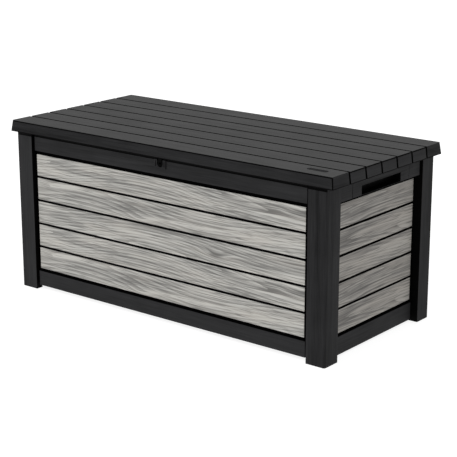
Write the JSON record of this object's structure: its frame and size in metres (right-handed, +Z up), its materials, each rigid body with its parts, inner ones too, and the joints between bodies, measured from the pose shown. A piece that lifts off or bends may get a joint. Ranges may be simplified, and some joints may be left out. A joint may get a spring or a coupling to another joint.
{
  "type": "deck storage box",
  "caption": "Long outdoor storage chest with slatted wood-look walls, corner legs, end handles and a planked lid hinged along the back on gas struts.",
  "frame": {"origin": "on the ground, under the middle of the box", "axes": "+X along the length, front faces -Y, +Z up"},
  "size_m": [1.541, 0.706, 0.6826],
  "materials": {
    "charcoal_resin": "matt charcoal moulded resin with fine embossed wood grain",
    "lid_resin": "matt charcoal moulded resin planks, grain along the length",
    "dark_resin": "plain black moulded resin",
    "wood_look_resin": "pale grey weathered-wood print, embossed grain",
    "zinc_steel": "zinc plated steel",
    "chromed_rod": "polished hard chrome",
    "black_paint": "satin black paint"
  },
  "bodies": {
    "box": {"floor_panel": "dark_resin", "front_left_leg": "charcoal_resin", "front_right_leg": "charcoal_resin", "back_left_leg": "charcoal_resin", "back_right_leg": "charcoal_resin", "front_panel": "charcoal_resin", "back_panel": "charcoal_resin", "left_panel": "charcoal_resin", "right_panel": "charcoal_resin", "front_slat_1": "wood_look_resin", "front_slat_2": "wood_look_resin", "front_slat_3": "wood_look_resin", "front_slat_4": "wood_look_resin", "front_slat_5": "wood_look_resin", "back_slat_1": "wood_look_resin", "back_slat_2": "wood_look_resin", "back_slat_3": "wood_look_resin", "back_slat_4": "wood_look_resin", "back_slat_5": "wood_look_resin", "left_slat_1": "wood_look_resin", "left_slat_2": "wood_look_resin", "left_slat_3": "wood_look_resin", "left_slat_4": "wood_look_resin", "left_slat_5": "wood_look_resin", "right_slat_1": "wood_look_resin", "right_slat_2": "wood_look_resin", "right_slat_3": "wood_look_resin", "right_slat_4": "wood_look_resin", "right_slat_5": "wood_look_resin", "hasp_plate": "charcoal_resin", "left_handle": "charcoal_resin", "right_handle": "charcoal_resin", "left_hinge_leaf": "charcoal_resin", "middle_hinge_leaf": "charcoal_resin", "right_hinge_leaf": "charcoal_resin", "left_hinge_pin": "zinc_steel", "middle_hinge_pin": "zinc_steel", "right_hinge_pin": "zinc_steel", "left_strut_bracket": "zinc_steel", "right_strut_bracket": "zinc_steel"},
    "lid": {"lid_shell": "lid_resin", "lid_liner": "charcoal_resin", "lid_beam_left": "dark_resin", "lid_beam_right": "dark_resin", "lid_badge": "dark_resin", "lid_hasp_tongue": "dark_resin", "left_lid_leaf": "charcoal_resin", "middle_lid_leaf": "charcoal_resin", "right_lid_leaf": "charcoal_resin", "left_lid_stud": "zinc_steel", "right_lid_stud": "zinc_steel"},
    "left_cylinder": {"left_strut_cylinder": "black_paint"},
    "left_rod": {"left_strut_rod": "chromed_rod"},
    "right_cylinder": {"right_strut_cylinder": "black_paint"},
    "right_rod": {"right_strut_rod": "chromed_rod"}
  },
  "joints": [
    {"name": "lid_hinge", "type": "hinge", "parent": "box", "child": "lid", "pos_m": [0, 0.346, 0.63], "axis": [-1, 0, 0], "range_deg": [0, 95]},
    {"name": "left_strut_turn", "type": "hinge", "parent": "box", "child": "left_cylinder", "pos_m": [-0.68, 0.13, 0.5], "axis": [-1, 0, 0], "range_deg": [0, 1.89]},
    {"name": "left_strut_slide", "type": "slide", "parent": "left_cylinder", "child": "left_rod", "axis": [0, 0.7123, 0.7018], "range_m": [0, 0.118]},
    {"name": "right_strut_turn", "type": "hinge", "parent": "box", "child": "right_cylinder", "pos_m": [0.68, 0.13, 0.5], "axis": [-1, 0, 0], "range_deg": [0, 1.89]},
    {"name": "right_strut_slide", "type": "slide", "parent": "right_cylinder", "child": "right_rod", "axis": [0, 0.7123, 0.7018], "range_m": [0, 0.118]}
  ],
  "couplings": [
    {"joint": "left_strut_turn", "follows": "lid_hinge", "ratio": 0.01986},
    {"joint": "left_strut_slide", "follows": "lid_hinge", "m_per_rad": 0.07107},
    {"joint": "right_strut_turn", "follows": "lid_hinge", "ratio": 0.01986},
    {"joint": "right_strut_slide", "follows": "lid_hinge", "m_per_rad": 0.07107}
  ]
}
